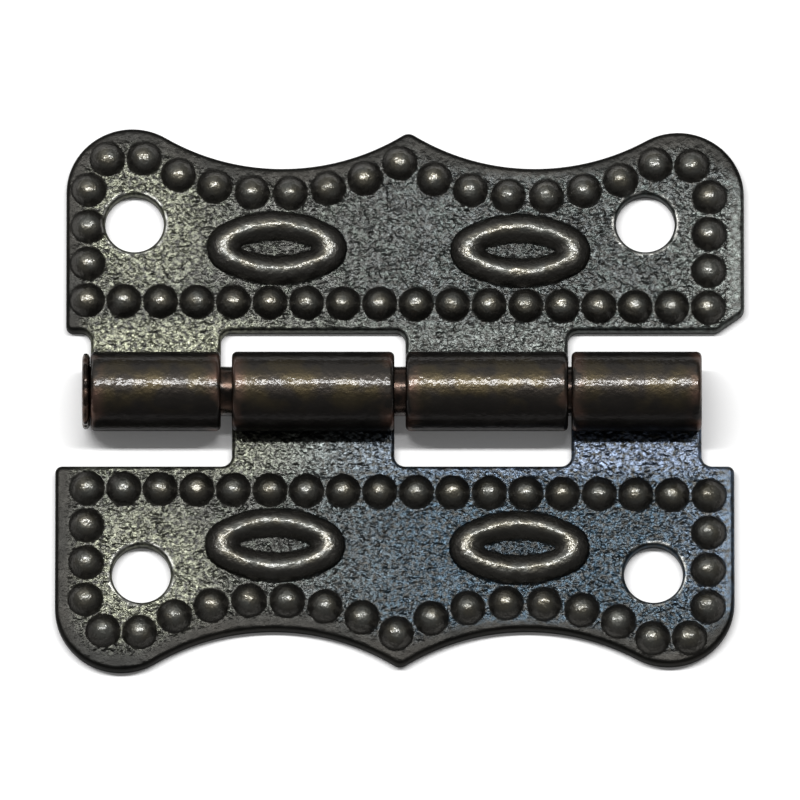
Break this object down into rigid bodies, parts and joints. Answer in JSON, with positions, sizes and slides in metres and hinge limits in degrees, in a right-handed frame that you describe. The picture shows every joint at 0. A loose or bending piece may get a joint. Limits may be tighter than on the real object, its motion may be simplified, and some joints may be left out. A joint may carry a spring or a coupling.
{
  "type": "decorative hinge",
  "caption": "Small stamped box hinge with scalloped leaves, a beaded border and raised oval rings, rolled knuckles on a headed pin, and plain screw holes.",
  "frame": {"origin": "middle of the open hinge, on the plane of the backs of the leaves", "axes": "+X along the pin, away from its head; +Y towards the upper leaf; +Z out of the stamped faces"},
  "size_m": [0.0528, 0.0429, 0.0061],
  "materials": {
    "leaf_plating": "dark antique bronze plating on steel sheet, granular field with smooth beads and barrel",
    "pin_plating": "dark antique bronze plating on steel wire"
  },
  "bodies": {
    "lower_side": {"lower_leaf": "leaf_plating"},
    "upper_side": {"upper_leaf": "leaf_plating", "hinge_pin": "pin_plating"}
  },
  "joints": [
    {"name": "leaf_swing", "type": "hinge", "parent": "lower_side", "child": "upper_side", "pos_m": [0, 0, 0.00305], "axis": [1, 0, 0], "range_deg": [-114, 180]}
  ]
}
